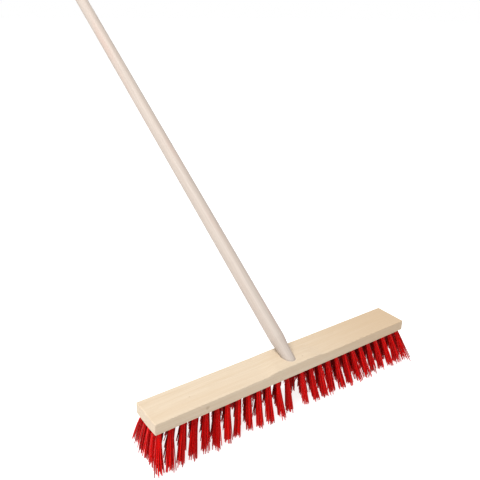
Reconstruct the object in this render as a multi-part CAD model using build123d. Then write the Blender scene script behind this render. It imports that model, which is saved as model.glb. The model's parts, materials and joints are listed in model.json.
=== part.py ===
from build123d import *
import os
from math import cos, radians, sin, sqrt, tan

# A wooden street broom that stands on its bristle tips.
# Origin: on the floor under the middle of the block.
# +X runs along the block, +Y to the side that the handle leans to, +Z up.

# Wooden block: flat top, arched underside, raised pad around the handle socket
block_length = 600.0
block_width = 70.0
edge_thickness = 22.0
crown = 2.0
bristle_drop = 72.0
edge_round = 1.5
shortest_eased_edge = 15.0

pad_front_rise = 4.0
pad_back_rise = 0.6
pad_foot_front = 76.0
pad_foot_back = 58.0
pad_ramp = 34.0

# Handle and its tapered socket
handle_length = 1400.0
handle_radius = 15.0
handle_recline = 56.0
handle_end_round = 6.0
neck_radius = 12.6
neck_start = 20.0
neck_end = 42.0
spigot_end_radius = 10.6
spigot_end_chamfer = 1.0
socket_depth = 23.0
socket_gap = 0.3
socket_runout = 26.0
mouth_y = -6.0

# Bristle tufts: five rows in a staggered grid with closed ends, fanned out to all sides
tuft_pitch = 22.6
half_row_count = 13
row_spacing = 13.5
row_numbers = [-2, -1, 0, 1, 2]
end_fan = 15.5
outer_lean = 15.0
tuft_root_radius = 4.0
tuft_tip_radius = 7.0
tuft_neck = 2.5
hole_depth = 14.0
socket_wall = 1.5

# Flat-wire staple that anchors each folded tuft at the bottom of its hole
staple_length = 12.0
staple_thickness = 0.6
staple_height = 3.0
staple_cover = 1.0
staple_turn = 30.0

half_length = block_length / 2
half_width = block_width / 2
lower_edge_z = bristle_drop
top_z = bristle_drop + edge_thickness
outer_row_y = row_spacing * max(row_numbers)
crown_radius = (half_width**2 + crown**2) / (2 * crown)
socket_half_width = neck_radius + socket_gap
first_station = socket_half_width + socket_wall + tuft_root_radius
row_half_span = first_station + tuft_pitch * (half_row_count - 1)


def underside_z(y):
    """Height of the arched underside at a distance y from the middle."""
    arc_centre_z = lower_edge_z - crown + crown_radius
    return arc_centre_z - sqrt(crown_radius**2 - y**2)


def pad_top_z(y):
    """Height of the sloping top of the pad."""
    share = (y + half_width) / block_width
    return top_z + pad_front_rise + share * (pad_back_rise - pad_front_rise)


# --- Wooden block -----------------------------------------------------------

def plain_block():
    """Block without its holes: a plank with an arched underside."""
    bottom_front = (-half_width, lower_edge_z)
    bottom_back = (half_width, lower_edge_z)
    outline = Polyline(bottom_front, (-half_width, top_z), (half_width, top_z), bottom_back)
    arch = ThreePointArc(bottom_back, (0, lower_edge_z - crown), bottom_front)
    section = Plane.YZ * make_face([outline, arch])
    return extrude(section, amount=half_length, both=True)


def pad_section(y, foot, rise):
    """Upright outline of the pad: a flat top with an S-shaped ramp at each end."""
    crest = foot - pad_ramp
    level = Vector(1, 0)
    base_z = top_z - edge_round
    left_ramp = Spline((-foot, top_z), (-crest, top_z + rise), tangents=[level, level])
    flat_top = Line((-crest, top_z + rise), (crest, top_z + rise))
    right_ramp = Spline((crest, top_z + rise), (foot, top_z), tangents=[level, level])
    base = Polyline((foot, top_z), (foot, base_z), (-foot, base_z), (-foot, top_z))
    upright = Plane(origin=(0, y, 0), x_dir=(1, 0, 0), z_dir=(0, -1, 0))
    return upright * make_face([left_ramp, flat_top, right_ramp, base])


def raised_pad():
    """Wedge around the socket, highest at the front edge of the block."""
    front = pad_section(-half_width, pad_foot_front, pad_front_rise)
    back = pad_section(half_width, pad_foot_back, pad_back_rise)
    return loft([front, back], ruled=True)


# --- Handle and socket ------------------------------------------------------

mouth_z = pad_top_z(mouth_y)
handle_direction = Vector(0, sin(radians(handle_recline)), cos(radians(handle_recline)))
# Local frame of the handle: origin in the mouth of the socket, local Z up the handle
handle_frame = Plane(origin=(0, mouth_y, mouth_z), x_dir=(1, 0, 0), z_dir=handle_direction)


def handle_solid():
    """Turned wooden handle with a tapered spigot and a rounded free end."""
    top = handle_length - socket_depth
    spigot_foot = -socket_depth
    outline = Polyline(
        (0, spigot_foot),
        (spigot_end_radius - spigot_end_chamfer, spigot_foot),
        (spigot_end_radius, spigot_foot + spigot_end_chamfer),
        (neck_radius, neck_start),
    )
    spigot_slope = Vector(neck_radius - spigot_end_radius, neck_start - spigot_foot)
    neck = Spline(
        (neck_radius, neck_start),
        (handle_radius, neck_end),
        tangents=[spigot_slope, Vector(0, 1)],
    )
    shaft = Line((handle_radius, neck_end), (handle_radius, top - handle_end_round))
    shoulder = RadiusArc(
        (handle_radius, top - handle_end_round),
        (handle_radius - handle_end_round, top),
        -handle_end_round,
    )
    closing = Polyline((handle_radius - handle_end_round, top), (0, top), (0, spigot_foot))
    section = Plane.XZ * make_face([outline, neck, shaft, shoulder, closing])
    return handle_frame * revolve(section, axis=Axis.Z)


def socket_tool():
    """Tapered bore for the spigot, with an even gap around it."""
    floor_radius = spigot_end_radius + socket_gap
    slope = (neck_radius - spigot_end_radius) / (neck_start + socket_depth)
    full_length = socket_runout + socket_depth + socket_gap
    open_radius = floor_radius + slope * full_length
    centre = Pos(0, 0, (socket_runout - socket_depth - socket_gap) / 2)
    return handle_frame * centre * Cone(floor_radius, open_radius, full_length)


# --- Bristle tufts ----------------------------------------------------------

def row_stations(row):
    """Stations along the block: odd rows sit in the gaps of even ones but end in line with them."""
    outer = [first_station + tuft_pitch * number for number in range(half_row_count)]
    inner = [x - tuft_pitch / 2 for x in outer[1:-1]] + outer[-1:]
    half_row, centre = (inner, [0.0]) if row % 2 else (outer, [])
    return [-x for x in reversed(half_row)] + centre + half_row


def socket_runs_over(x, row):
    """True where the socket leaves no wood for a hole in the row next to the front."""
    return row == -1 and abs(x) < tuft_pitch / 2


def tuft_frame(x, row):
    """Local frame of a tuft: origin on the underside, local Z down along the bristles."""
    y = row * row_spacing
    fan = radians(end_fan * x / row_half_span)
    lean = radians(outer_lean * y / outer_row_y)
    down = Vector(tan(fan), tan(lean), -1)
    return Plane(origin=(x, y, underside_z(y)), x_dir=(0, 1, 0), z_dir=down)


def hole_tool(frame):
    """Round blind hole for one tuft, open below the underside."""
    overlap = tuft_root_radius
    length = hole_depth + overlap
    return frame * Pos(0, 0, (overlap - hole_depth) / 2) * Cylinder(tuft_root_radius, length)


def tuft_solid(frame):
    """Tuft as a plug in its hole that flares below the block and ends on the floor."""
    plug_length = hole_depth + tuft_neck
    plug = Pos(0, 0, (tuft_neck - hole_depth) / 2) * Cylinder(tuft_root_radius, plug_length)
    reach = frame.origin.Z / -frame.z_dir.Z - tuft_neck
    spread = (tuft_tip_radius - tuft_root_radius) / reach
    flare_length = reach + tuft_tip_radius
    end_radius = tuft_root_radius + spread * flare_length
    flare = Cone(tuft_root_radius, end_radius, flare_length)
    brush = Pos(0, 0, tuft_neck + flare_length / 2) * flare
    return split(frame * (plug + brush), bisect_by=Plane.XY, keep=Keep.TOP)


def staple_solid(frame):
    """Flat wire across the bottom of the hole, with both ends in the wood."""
    depth = -hole_depth + staple_cover + staple_height / 2
    wire = Box(staple_length, staple_thickness, staple_height)
    return frame * Pos(0, 0, depth) * Rot(0, 0, staple_turn) * wire


# --- Assembly ---------------------------------------------------------------

def tuft_columns():
    """Frames of the tufts, grouped into columns across the block."""
    columns = []
    for number in range(2 * half_row_count):
        frames = []
        for row in row_numbers:
            stations = row_stations(row)
            if number < len(stations) and not socket_runs_over(stations[number], row):
                frames.append(tuft_frame(stations[number], row))
        columns.append(frames)
    return columns


def write_node(name, solids):
    """Write one node as a STEP file, with its solids side by side."""
    shape = solids[0] if len(solids) == 1 else Compound(children=solids)
    export_step(shape, os.path.join("parts", name + ".step"))


def eased(block):
    """Round the outer edges of the block lightly."""
    outer = block.edges().filter_by(lambda edge: edge.length > shortest_eased_edge)
    return fillet(outer, edge_round)


os.makedirs("parts", exist_ok=True)

columns = tuft_columns()
block = eased(plain_block() + raised_pad())
cuts = [socket_tool()]
for column_number, frames in enumerate(columns, start=1):
    tufts = []
    staples = []
    for frame in frames:
        staple = staple_solid(frame)
        tufts.append(tuft_solid(frame) - staple)
        staples.append(staple)
        cuts.append(hole_tool(frame))
        cuts.append(staple)
    write_node(f"bristle_tufts_{column_number:02d}", tufts)
    write_node(f"tuft_staples_{column_number:02d}", staples)

write_node("broom_block", [block - cuts])
write_node("handle", [handle_solid()])
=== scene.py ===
"""Looks of a wooden push broom with red bristles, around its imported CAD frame, in metres."""

import json
import math
import random

import bmesh
import bpy
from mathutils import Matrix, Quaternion, Vector


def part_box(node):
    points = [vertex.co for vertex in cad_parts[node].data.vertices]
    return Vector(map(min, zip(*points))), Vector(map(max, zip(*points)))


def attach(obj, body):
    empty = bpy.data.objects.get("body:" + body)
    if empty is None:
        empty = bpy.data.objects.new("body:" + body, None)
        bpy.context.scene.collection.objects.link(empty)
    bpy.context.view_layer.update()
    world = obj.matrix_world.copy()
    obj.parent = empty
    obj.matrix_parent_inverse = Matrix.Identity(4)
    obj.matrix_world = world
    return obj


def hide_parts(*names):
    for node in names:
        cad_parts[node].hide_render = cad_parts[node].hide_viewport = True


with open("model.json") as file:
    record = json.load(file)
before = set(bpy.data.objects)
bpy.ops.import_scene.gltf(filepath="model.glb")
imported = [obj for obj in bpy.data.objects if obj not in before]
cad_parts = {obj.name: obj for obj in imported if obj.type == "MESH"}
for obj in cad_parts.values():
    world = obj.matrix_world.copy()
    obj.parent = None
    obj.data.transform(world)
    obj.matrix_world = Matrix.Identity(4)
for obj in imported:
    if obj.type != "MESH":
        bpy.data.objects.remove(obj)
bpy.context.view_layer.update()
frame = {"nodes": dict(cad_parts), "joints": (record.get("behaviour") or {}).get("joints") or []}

MM = 0.001
UP = Vector((0, 0, 1))

# --- Places and sizes read from the frame --------------------------------------

block_low, block_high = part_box("broom_block")
handle_axis = Vector(frame["joints"][0]["axis"]).normalized()
tuft_nodes = sorted(name for name in frame["nodes"] if name.startswith("bristle_tufts"))
staple_nodes = sorted(name for name in frame["nodes"] if name.startswith("tuft_staples"))


# --- Shader helper ---------------------------------------------------------------

# Colour sockets of the Mix node, whose names also belong to its number and vector sockets
MIX_FIRST, MIX_SECOND, MIX_RESULT = 6, 7, 2


class Shader:
    """Adds and links the nodes of one material."""

    def __init__(self, name):
        self.material = bpy.data.materials.new(name)
        self.material.use_nodes = True
        self.tree = self.material.node_tree
        self.tree.nodes.clear()

    def add(self, kind, inputs=None, out=0, **settings):
        """Add a node, set or link its inputs, and return one of its outputs by name or number."""
        node = self.tree.nodes.new(kind)
        for key, value in settings.items():
            setattr(node, key, value)
        for key, value in (inputs or {}).items():
            if isinstance(value, bpy.types.NodeSocket):
                self.tree.links.new(value, node.inputs[key])
            else:
                node.inputs[key].default_value = value
        return node.outputs[out]

    def math(self, operation, first, second=0.0, clamp=False):
        inputs = {0: first, 1: second}
        return self.add("ShaderNodeMath", inputs, operation=operation, use_clamp=clamp)

    def vector(self, operation, first, second=(0, 0, 0)):
        """Vector arithmetic, with a number as its result for a length or a dot product."""
        out = "Value" if operation in ("LENGTH", "DOT_PRODUCT") else "Vector"
        return self.add("ShaderNodeVectorMath", {0: first, 1: second}, out=out, operation=operation)

    def noise(self, vector, scale, detail=4.0, roughness=0.5, distortion=0.0):
        inputs = {
            "Vector": vector,
            "Scale": scale,
            "Detail": detail,
            "Roughness": roughness,
            "Distortion": distortion,
        }
        return self.add("ShaderNodeTexNoise", inputs)

    def range(self, value, low, high, to_low=0.0, to_high=1.0):
        """Map low..high to to_low..to_high with soft ends, and hold the ends beyond it."""
        inputs = {
            "Value": value,
            "From Min": low,
            "From Max": high,
            "To Min": to_low,
            "To Max": to_high,
        }
        return self.add("ShaderNodeMapRange", inputs, interpolation_type="SMOOTHSTEP")

    def mix(self, factor, first, second):
        inputs = {"Factor": factor, MIX_FIRST: first, MIX_SECOND: second}
        return self.add("ShaderNodeMix", inputs, out=MIX_RESULT, data_type="RGBA")

    def bump(self, height, strength, distance):
        inputs = {"Height": height, "Strength": strength, "Distance": distance}
        return self.add("ShaderNodeBump", inputs)

    def surface(self, inputs):
        """Finish the material with a principled surface."""
        shader = self.add("ShaderNodeBsdfPrincipled", inputs)
        output = self.tree.nodes.new("ShaderNodeOutputMaterial")
        self.tree.links.new(shader, output.inputs["Surface"])
        return self.material


def rgba(red, green, blue):
    return (red, green, blue, 1.0)


# --- Wood --------------------------------------------------------------------------

# How fine each pattern of the wood is, per metre along the grain (X) and across it
RING_DRIFT = (3.0, 22.0, 22.0)
FIBRES = (9.0, 620.0, 620.0)
STREAKS = (2.2, 95.0, 95.0)
PORES = (160.0, 1500.0, 1500.0)
CLOUDS = (5.0, 30.0, 30.0)
BLUSHES = (3.5, 45.0, 45.0)

# Width of the growth rings, and how many of them their drift spans
BLOCK_RING_WIDTH = 4.5 * MM
HANDLE_RING_WIDTH = 5.0 * MM
RINGS_OF_DRIFT = 9

# Shares of a growth ring at which its late wood starts and at which it ends
LATE_WOOD_START = 0.55
LATE_WOOD_END = 0.97

# Most that the warm streaks, the warm clouds and the worn edges change the tone
WARM_STREAKS = 0.6
WARM_CLOUDS = 0.22
WORN_SHARE = 0.35

# Width of the worn edges, depth of the grain, and height of the painted shade at the handle's foot
WORN_WIDTH = 2.5 * MM
GRAIN_RELIEF = 0.25 * MM
PAINTED_SHADE_REACH = 2 * MM
WOOD_SPECULAR = 0.35

# Height of the raised pad above the flat top of the block
PAD_RISE = 4 * MM


def wood_grain(shader, position, pith, ring_width):
    """Growth rings, fibres, streaks and pores of wood whose grain runs along X of position."""
    drift = shader.noise(shader.vector("MULTIPLY", position, RING_DRIFT), 1.0, 3.0)
    across = shader.vector("MULTIPLY", shader.vector("SUBTRACT", position, pith), (0, 1, 1))
    radius = shader.vector("LENGTH", across)
    wander = shader.math("MULTIPLY", drift, RINGS_OF_DRIFT * ring_width)
    ring_count = shader.math("DIVIDE", shader.math("ADD", radius, wander), ring_width)
    ring_phase = shader.math("FRACT", ring_count)
    late_wood = shader.range(ring_phase, LATE_WOOD_START, LATE_WOOD_END)
    ring_edge = shader.range(ring_phase, LATE_WOOD_END, 1.0)
    rings = shader.math("SUBTRACT", late_wood, ring_edge, clamp=True)

    fibres = shader.noise(shader.vector("MULTIPLY", position, FIBRES), 1.0, 5.0, 0.6)
    streaks = shader.noise(shader.vector("MULTIPLY", position, STREAKS), 1.0, 3.0, 0.55, 0.4)
    pore_space = shader.vector("MULTIPLY", position, PORES)
    pore_cells = shader.add(
        "ShaderNodeTexVoronoi", {"Vector": pore_space, "Scale": 1.0, "Randomness": 1.0}
    )
    pores = shader.range(pore_cells, 0.10, 0.26, 1.0, 0.0)
    return rings, fibres, streaks, pores


def worn_edge(shader, width):
    """One near the sharp edges of a piece, zero on its faces."""
    rounded = shader.add("ShaderNodeBevel", {"Radius": width}, samples=4)
    flat = shader.add("ShaderNodeNewGeometry", out="Normal")
    alike = shader.vector("DOT_PRODUCT", rounded, flat)
    return shader.range(alike, 0.80, 0.99, 1.0, 0.0)


def wood_surface(shader, position, palette, pith, ring_width, tints=(), marks=()):
    """Planed bare wood.

    tints are (share of the surface, colour) pairs of broad changes of tone, and marks are
    (centre, radius, depth of colour) of knots and specks.
    """
    rings, fibres, streaks, pores = wood_grain(shader, position, pith, ring_width)
    warmth = shader.range(streaks, 0.30, 0.72, 0.0, WARM_STREAKS)
    tone = shader.mix(warmth, palette["light"], palette["warm"])
    tone = shader.mix(shader.math("MULTIPLY", rings, palette["ring_depth"]), tone, palette["late"])
    fibre_depth = shader.range(fibres, 0.35, 0.75, 0.0, palette["fibre_depth"])
    tone = shader.mix(fibre_depth, tone, palette["fibre"])
    tone = shader.mix(shader.math("MULTIPLY", pores, palette["pore_depth"]), tone, palette["pore"])
    cloud = shader.noise(shader.vector("MULTIPLY", position, CLOUDS), 1.0, 2.0)
    tone = shader.mix(shader.range(cloud, 0.3, 0.7, 0.0, WARM_CLOUDS), tone, palette["warm"])
    for share, colour in tints:
        tone = shader.mix(share, tone, colour)
    for centre, radius, depth in marks:
        offset = shader.vector("SUBTRACT", position, centre)
        ragged = shader.noise(position, 0.9 / radius, 3.0)
        distance = shader.vector("LENGTH", offset)
        edge = shader.math("ADD", distance, shader.math("MULTIPLY", ragged, 0.8 * radius))
        stain = shader.range(edge, 0.7 * radius, 1.7 * radius, depth, 0.0)
        tone = shader.mix(stain, tone, palette["knot"])

    edge = worn_edge(shader, WORN_WIDTH)
    tone = shader.mix(shader.math("MULTIPLY", edge, WORN_SHARE), tone, palette["worn"])
    relief = shader.math("MULTIPLY", fibres, 0.6)
    relief = shader.math("ADD", relief, shader.math("MULTIPLY", rings, 0.25))
    relief = shader.math("SUBTRACT", relief, shader.math("MULTIPLY", pores, 0.5))
    normal = shader.bump(relief, 0.35, GRAIN_RELIEF)
    roughness = shader.range(fibres, 0.2, 0.8, palette["smooth"], palette["rough"])
    roughness = shader.math("SUBTRACT", roughness, shader.math("MULTIPLY", edge, 0.10))
    return shader.surface(
        {
            "Base Color": tone,
            "Roughness": roughness,
            "Normal": normal,
            "Specular IOR Level": WOOD_SPECULAR,
        }
    )


def block_wood():
    """Pale beech, a little more orange towards the right end, with two specks and a knot."""
    shader = Shader("block_beech")
    position = shader.add("ShaderNodeTexCoord", out="Object")
    tint_start = -0.05
    front_y = block_low.y
    flat_top_z = block_high.z - PAD_RISE
    along = shader.add("ShaderNodeSeparateXYZ", {"Vector": position}, out="X")
    orange_share = shader.range(along, tint_start, block_high.x, 0.0, 0.80)
    tints = [(orange_share, rgba(0.437, 0.315, 0.197))]
    knot_on_front = ((-0.200, front_y, flat_top_z - 10 * MM), 4.2 * MM, 0.34)
    speck_on_pad = ((0.025, front_y + 15 * MM, block_high.z), 1.6 * MM, 0.60)
    speck_on_top = ((-0.217, -3 * MM, flat_top_z), 1.8 * MM, 0.28)
    marks = [knot_on_front, speck_on_pad, speck_on_top]
    palette = {
        "light": rgba(0.542, 0.449, 0.338),
        "warm": rgba(0.487, 0.378, 0.260),
        "late": rgba(0.437, 0.323, 0.210),
        "fibre": rgba(0.437, 0.340, 0.235),
        "pore": rgba(0.336, 0.227, 0.134),
        "knot": rgba(0.168, 0.092, 0.050),
        "worn": rgba(0.638, 0.546, 0.437),
        "ring_depth": 0.15,
        "fibre_depth": 0.35,
        "pore_depth": 0.30,
        "smooth": 0.42,
        "rough": 0.62,
    }
    pith = (0.0, 0.045, -0.060)
    return wood_surface(shader, position, palette, pith, BLOCK_RING_WIDTH, tints, marks)


def handle_wood():
    """Pale pinkish-grey turned wood with long fine streaks, darker where it enters the block:
    painted shade.
    """
    shader = Shader("handle_ash")
    place = shader.add("ShaderNodeTexCoord", out="Object")
    to_grain = handle_axis.rotation_difference(Vector((1, 0, 0))).to_euler()
    inputs = {"Vector": place, "Rotation": to_grain}
    position = shader.add("ShaderNodeMapping", inputs, vector_type="POINT")
    blush = shader.noise(shader.vector("MULTIPLY", position, BLUSHES), 1.0, 2.0)
    height = shader.add("ShaderNodeSeparateXYZ", {"Vector": place}, out="Z")
    # Painted shade: a darker band round the handle just above and below the top of the block,
    # standing in for the shadow where it enters
    foot_shade_low = block_high.z - PAINTED_SHADE_REACH
    foot_shade_high = block_high.z + PAINTED_SHADE_REACH
    painted_foot_shade = shader.range(height, foot_shade_low, foot_shade_high, 0.45, 0.0)
    tints = [
        (shader.range(blush, 0.48, 0.72, 0.0, 0.45), rgba(0.437, 0.302, 0.252)),
        (painted_foot_shade, rgba(0.218, 0.168, 0.134)),
    ]
    palette = {
        "light": rgba(0.445, 0.388, 0.340),
        "warm": rgba(0.399, 0.326, 0.277),
        "late": rgba(0.332, 0.273, 0.235),
        "fibre": rgba(0.323, 0.277, 0.245),
        "pore": rgba(0.252, 0.202, 0.172),
        "knot": rgba(0.168, 0.109, 0.076),
        "worn": rgba(0.588, 0.521, 0.470),
        "ring_depth": 0.30,
        "fibre_depth": 0.45,
        "pore_depth": 0.35,
        "smooth": 0.45,
        "rough": 0.65,
    }
    pith = (0.0, 0.030, 0.055)
    return wood_surface(shader, position, palette, pith, HANDLE_RING_WIDTH, tints)


# --- Bristles ------------------------------------------------------------------------

# Ribs along the strands, per metre across and along them, and their sheen
RIBS = (1800.0, 1800.0, 60.0)
RIB_RELIEF = 0.12 * MM
BRISTLE_SPECULAR = 0.08

# One strand
STRAND_RADIUS = 0.85 * MM
STRAND_SIDES = 6
STRAND_RINGS = 8
CUT_END_TAPER = 0.92
ROOT_SHARE = 0.06
FREE_SHARE = 0.17
SPLAY_VARIATION = (0.85, 1.15)
SPLAY_POWER = 0.8
LEAN_POWER = 1.5
MOST_CURL = 0.9 * MM
CURL_POWER = 2
LEAST_WAVE = 0.05 * MM
MOST_WAVE = 0.25 * MM
WAVE_TURN = 7.0
LOWEST_CUT = 0.6 * MM
LONGEST_CUT = 14 * MM
CUT_SPREAD = (1.2, 2.4)
NEARLY_UPRIGHT = 0.9

# The few strands that stand out from their tuft
STRAY_SHARE = 0.04
STRAY_SPLAY = 0.8
STRAY_CURL = 3.0 * MM

# One tuft, with strand tones from dark (0) to bright (1)
STRANDS_PER_TUFT = 28
TUFT_ROOT_RADIUS = 3.2 * MM
LEAST_SPLAY = 1.2
MOST_SPLAY = 1.8
TIP_SCATTER = 1.6 * MM
DARKEST_STRAND = 0.15
BRIGHTEST_STRAND = 0.85
# Painted light and shade of the tufts: the tone of the inner tufts, and how fast the end columns
# and the outer rows brighten to full tone
SHADED_TONE = 0.45
END_LIGHT_POWER = 6
ROW_LIGHT = 1.3
SUNFLOWER_TURN = math.radians(137.508)
FIRST_SEED = 100

# Ends of the block, where the tufts splay more, and the last column on the left, whose tips
# are bent towards the middle
END_ZONE = 50 * MM
END_SPLAY = 0.6
LEFT_COLUMN = 25 * MM
LEFT_PUSH = 10 * MM

# Reading the CAD tufts: slices at the tip and at the bottom of the hole
MERGE_DISTANCE = 0.01 * MM
TIP_SLICE = 0.2 * MM
CAP_SLICE = 1.2 * MM
# Rounds of refining an axis or a cut height
REFINEMENTS = 3


def bristle_plastic():
    """Glossy red plastic whose tone changes from strand to strand and along each strand."""
    shader = Shader("bristle_red")
    strand = shader.add("ShaderNodeAttribute", out="Fac", attribute_name="strand")
    along = shader.add("ShaderNodeAttribute", out="Fac", attribute_name="along")
    position = shader.add("ShaderNodeTexCoord", out="Object")
    # The strand attribute holds each strand's random tone times the painted light and shade of its
    # tuft
    tone = shader.mix(strand, rgba(0.24, 0.0004, 0.0004), rgba(0.86, 0.005, 0.004))
    cloud = shader.noise(position, 90.0, 3.0)
    tone = shader.mix(shader.range(cloud, 0.35, 0.75, 0.0, 0.25), tone, rgba(0.36, 0.001, 0.001))
    frayed = shader.range(along, 0.965, 1.0, 0.0, 0.25)
    tone = shader.mix(frayed, tone, rgba(0.72, 0.05, 0.045))
    ribs = shader.noise(shader.vector("MULTIPLY", position, RIBS), 1.0, 2.0)
    normal = shader.bump(ribs, 0.25, RIB_RELIEF)
    roughness = shader.range(cloud, 0.3, 0.7, 0.26, 0.40)
    return shader.surface(
        {
            "Base Color": tone,
            "Roughness": roughness,
            "Normal": normal,
            "Specular IOR Level": BRISTLE_SPECULAR,
        }
    )


def islands(node):
    """Vertex positions of each separate solid of a CAD node, from the front to the back."""
    mesh = bmesh.new()
    mesh.from_mesh(frame["nodes"][node].data)
    bmesh.ops.remove_doubles(mesh, verts=mesh.verts, dist=MERGE_DISTANCE)
    unseen = set(mesh.verts)
    groups = []
    while unseen:
        stack = [unseen.pop()]
        group = []
        while stack:
            vert = stack.pop()
            group.append(vert.co.copy())
            for edge in vert.link_edges:
                other = edge.other_vert(vert)
                if other in unseen:
                    unseen.remove(other)
                    stack.append(other)
        groups.append(group)
    mesh.free()
    groups.sort(key=lambda points: sum(point.y for point in points) / len(points))
    return groups


def middle(points):
    """Centre of the box around some points."""
    low = Vector(map(min, *points))
    high = Vector(map(max, *points))
    return (low + high) / 2


def tuft_line(points):
    """Root at the bottom of the hole, and tip on the floor, of one CAD tuft."""
    tip = middle([point for point in points if point.z < TIP_SLICE])
    axis = (middle(points) - tip).normalized()
    for _ in range(REFINEMENTS):
        reach = max((point - tip).dot(axis) for point in points)
        cap = [point for point in points if (point - tip).dot(axis) > reach - CAP_SLICE]
        root = middle(cap)
        axis = (root - tip).normalized()
    return root, tip


def end_splay(root):
    """How much more the tufts nearest to the two ends of the block splay."""
    return END_SPLAY if abs(root.x) > block_high.x - END_ZONE else 0.0


def left_push(root):
    """How far the tips of a tuft are bent towards the middle: only the last left column is."""
    return LEFT_PUSH if root.x < block_low.x + LEFT_COLUMN else 0.0


def painted_tuft_light(root):
    """Painted light and shade of a tuft: one in the outer rows and columns, less inside, where the
    inner rows are painted darker as if in shade.
    """
    beside = abs(root.x) / block_high.x
    across = abs(root.y) / block_high.y
    lit_share = min(1.0, max(beside**END_LIGHT_POWER, ROW_LIGHT * across))
    return SHADED_TONE + (1 - SHADED_TONE) * lit_share


def strand_path(root, tip, side, other, offset, tuft, rng):
    """Centre line of one strand, from inside its hole to its cut end above the floor."""
    axis = tip - root
    stray = rng.random() < STRAY_SHARE
    splay = tuft["splay"] * rng.uniform(*SPLAY_VARIATION) + (STRAY_SPLAY if stray else 0.0)
    curl = rng.uniform(0.0, MOST_CURL) + (STRAY_CURL if stray else 0.0)
    curl_angle = rng.uniform(0, 2 * math.pi)
    wave = rng.uniform(LEAST_WAVE, MOST_WAVE)
    wave_angle = rng.uniform(0, 2 * math.pi)
    wave_phase = rng.uniform(0, 2 * math.pi)
    cut_height = LOWEST_CUT + rng.betavariate(*CUT_SPREAD) * LONGEST_CUT

    def point_at(share):
        """Point at a share of the way to the floor, which may lie beyond the cut end."""
        free = max(0.0, share - FREE_SHARE) / (1 - FREE_SHARE)
        spread = 1.0 + splay * free**SPLAY_POWER
        bend = curl * free**CURL_POWER
        ripple = wave * free * math.sin(wave_phase + WAVE_TURN * free)
        across = offset[0] * spread + tuft["lean"][0] * free**LEAN_POWER
        beside = offset[1] * spread + tuft["lean"][1] * free**LEAN_POWER
        across += bend * math.cos(curl_angle) + ripple * math.cos(wave_angle)
        beside += bend * math.sin(curl_angle) + ripple * math.sin(wave_angle)
        return root + axis * share + side * across + other * beside

    end = 1.0
    for _ in range(REFINEMENTS):
        end -= (cut_height - point_at(end).z) / (root.z - tip.z)
    length = end - ROOT_SHARE
    steps = STRAND_RINGS - 1
    return [point_at(ROOT_SHARE + length * ring / steps) for ring in range(STRAND_RINGS)]


def add_tube(vertices, faces, tones, shares, path, tone):
    """Add a closed tube along a strand's centre line, with its tone and share along it."""
    first = len(vertices)
    for number, point in enumerate(path):
        ahead = path[min(number + 1, len(path) - 1)]
        behind = path[max(number - 1, 0)]
        along = (ahead - behind).normalized()
        upright = abs(along.z) >= NEARLY_UPRIGHT
        reference = Vector((1, 0, 0)) if upright else UP.cross(along)
        side = along.cross(reference).normalized()
        other = along.cross(side)
        radius = STRAND_RADIUS * (CUT_END_TAPER if number == len(path) - 1 else 1.0)
        for corner in range(STRAND_SIDES):
            angle = 2 * math.pi * corner / STRAND_SIDES
            rim = side * radius * math.cos(angle) + other * radius * math.sin(angle)
            vertices.append(point + rim)
            tones.append(tone)
            shares.append(number / (len(path) - 1))
    for ring in range(len(path) - 1):
        for corner in range(STRAND_SIDES):
            following = (corner + 1) % STRAND_SIDES
            low = first + ring * STRAND_SIDES
            high = low + STRAND_SIDES
            faces.append((low + corner, low + following, high + following, high + corner))
    faces.append(tuple(first + corner for corner in reversed(range(STRAND_SIDES))))
    last = first + (len(path) - 1) * STRAND_SIDES
    faces.append(tuple(last + corner for corner in range(STRAND_SIDES)))


def bristle_column(node, material, rng):
    """Loose strands for all the tufts of one CAD node."""
    vertices, faces, tones, shares = [], [], [], []
    for points in islands(node):
        root, tip = tuft_line(points)
        axis = (tip - root).normalized()
        side = axis.cross(Vector((0, 1, 0))).normalized()
        other = axis.cross(side)
        tuft = {
            "splay": rng.uniform(LEAST_SPLAY, MOST_SPLAY) + end_splay(root),
            "lean": (rng.gauss(0, TIP_SCATTER) + left_push(root), rng.gauss(0, TIP_SCATTER)),
        }
        turn = rng.uniform(0, 2 * math.pi)
        # Painted light and shade: inner tufts darker, outer rows and end columns brighter
        tuft_light = painted_tuft_light(root)
        for number in range(STRANDS_PER_TUFT):
            spread = TUFT_ROOT_RADIUS * math.sqrt((number + 0.5) / STRANDS_PER_TUFT)
            angle = turn + number * SUNFLOWER_TURN
            offset = (spread * math.cos(angle), spread * math.sin(angle))
            path = strand_path(root, tip, side, other, offset, tuft, rng)
            tone = tuft_light * rng.uniform(DARKEST_STRAND, BRIGHTEST_STRAND)
            add_tube(vertices, faces, tones, shares, path, tone)
    mesh = bpy.data.meshes.new(node + "_strands")
    mesh.from_pydata(vertices, [], faces)
    mesh.attributes.new("strand", "FLOAT", "POINT").data.foreach_set("value", tones)
    mesh.attributes.new("along", "FLOAT", "POINT").data.foreach_set("value", shares)
    mesh.polygons.foreach_set("use_smooth", [len(face) == 4 for face in faces])
    mesh.materials.append(material)
    piece = bpy.data.objects.new(node.replace("bristle_tufts", "bristle_strands"), mesh)
    bpy.context.collection.objects.link(piece)
    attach(piece, "head")
    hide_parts(node)


# --- Steel ------------------------------------------------------------------------------

# Drawing lines along the wire, per metre
DRAWING_LINES = (300.0, 300.0, 4000.0)
LINE_RELIEF = 0.05 * MM


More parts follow.
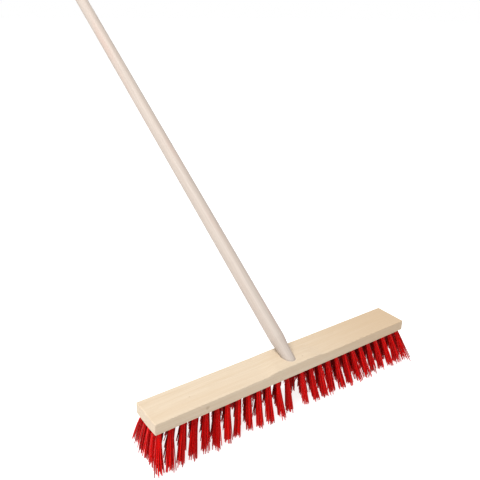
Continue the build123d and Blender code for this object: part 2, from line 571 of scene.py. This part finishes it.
def staple_steel():
    """Zinc-coated flat wire with drawing lines."""
    shader = Shader("staple_steel")
    position = shader.add("ShaderNodeTexCoord", out="Object")
    lines = shader.noise(shader.vector("MULTIPLY", position, DRAWING_LINES), 1.0, 3.0)
    tone = shader.mix(lines, rgba(0.50, 0.50, 0.51), rgba(0.68, 0.68, 0.67))
    return shader.surface(
        {
            "Base Color": tone,
            "Metallic": 1.0,
            "Roughness": shader.range(lines, 0.2, 0.8, 0.28, 0.48),
            "Normal": shader.bump(lines, 0.2, LINE_RELIEF),
        }
    )


# --- Stage: floor, light and camera --------------------------------------------------------

FLOOR_SIZE = 60.0
FLOOR_GLOW = 0.85

KEY_PLACE = (-2.6, 0.3, 5.9)
KEY_TARGET = (0.0, 0.0, 0.08)
KEY_SIZE = 3.6
KEY_POWER = 545.0

# Height in the sky over which its glow fades from the bright horizon to the dimmer top
SKY_FADE = {"From Min": 0.30, "From Max": 0.75, "To Min": 1.0, "To Max": 0.40}

CAMERA_PLACE = (-0.6175, -0.7071, 0.7195)
CAMERA_HEADING = math.radians(35.46)
CAMERA_TILT = math.radians(-22.31)
CAMERA_ROLL = math.radians(1.06)
CAMERA_LENS = 42.62
CAMERA_SENSOR = 36.0


def pale_paper():
    """White paper that glows a little, so that the background stays white."""
    shader = Shader("pale_floor")
    position = shader.add("ShaderNodeTexCoord", out="Object")
    speckle = shader.noise(position, 40.0, 3.0)
    tone = shader.mix(speckle, rgba(0.34, 0.34, 0.34), rgba(0.38, 0.38, 0.38))
    inputs = {
        "Base Color": tone,
        "Roughness": shader.range(speckle, 0.3, 0.7, 0.75, 0.85),
        "Normal": shader.bump(speckle, 0.05, 0.2 * MM),
        "Specular IOR Level": 0.1,
        "Emission Color": rgba(1.0, 1.0, 1.0),
        "Emission Strength": FLOOR_GLOW,
    }
    return shader.surface(inputs)


def make_floor():
    """Plain pale floor that runs on to a white horizon."""
    bpy.ops.mesh.primitive_plane_add(size=FLOOR_SIZE, location=(0, 0, 0))
    floor = bpy.context.object
    floor.name = "floor"
    floor.data.materials.append(pale_paper())


def make_key_light():
    """Large soft lamp high above the left end."""
    light = bpy.data.lights.new("key_light", "AREA")
    light.shape = "DISK"
    light.size = KEY_SIZE
    light.energy = KEY_POWER
    lamp = bpy.data.objects.new("key_light", light)
    lamp.location = KEY_PLACE
    aim = Vector(KEY_TARGET) - Vector(KEY_PLACE)
    lamp.rotation_euler = aim.to_track_quat("-Z", "Y").to_euler()
    bpy.context.collection.objects.link(lamp)


def make_sky():
    """White glow from all around, brighter near the horizon than overhead."""
    world = bpy.data.worlds.new("studio")
    world.use_nodes = True
    tree = world.node_tree
    background = tree.nodes["Background"]
    background.inputs["Color"].default_value = rgba(1.0, 1.0, 1.0)
    direction = tree.nodes.new("ShaderNodeTexCoord").outputs["Generated"]
    parts = tree.nodes.new("ShaderNodeSeparateXYZ")
    fade = tree.nodes.new("ShaderNodeMapRange")
    fade.interpolation_type = "SMOOTHSTEP"
    for key, value in SKY_FADE.items():
        fade.inputs[key].default_value = value
    tree.links.new(direction, parts.inputs["Vector"])
    tree.links.new(parts.outputs["Z"], fade.inputs["Value"])
    tree.links.new(fade.outputs["Result"], background.inputs["Strength"])
    bpy.context.scene.world = world


def make_camera():
    """Camera in front of the left end, looking down along the block."""
    level = math.cos(CAMERA_TILT)
    forward = Vector(
        (math.sin(CAMERA_HEADING) * level, math.cos(CAMERA_HEADING) * level, math.sin(CAMERA_TILT))
    )
    data = bpy.data.cameras.new("camera")
    data.sensor_width = CAMERA_SENSOR
    data.lens = CAMERA_LENS
    camera = bpy.data.objects.new("camera", data)
    camera.rotation_mode = "QUATERNION"
    camera.location = CAMERA_PLACE
    aim = forward.to_track_quat("-Z", "Y")
    camera.rotation_quaternion = aim @ Quaternion((0, 0, 1), CAMERA_ROLL)
    bpy.context.collection.objects.link(camera)
    bpy.context.scene.camera = camera


# --- Build -----------------------------------------------------------------------------------

def paint(node, material):
    """Give a CAD node one material."""
    data = frame["nodes"][node].data
    data.materials.clear()
    data.materials.append(material)


paint("broom_block", block_wood())
paint("handle", handle_wood())
steel = staple_steel()
for name in staple_nodes:
    paint(name, steel)

red = bristle_plastic()
for number, name in enumerate(tuft_nodes):
    bristle_column(name, red, random.Random(FIRST_SEED + number))

make_floor()
make_key_light()
make_sky()
make_camera()
bpy.context.scene.view_settings.view_transform = "Standard"
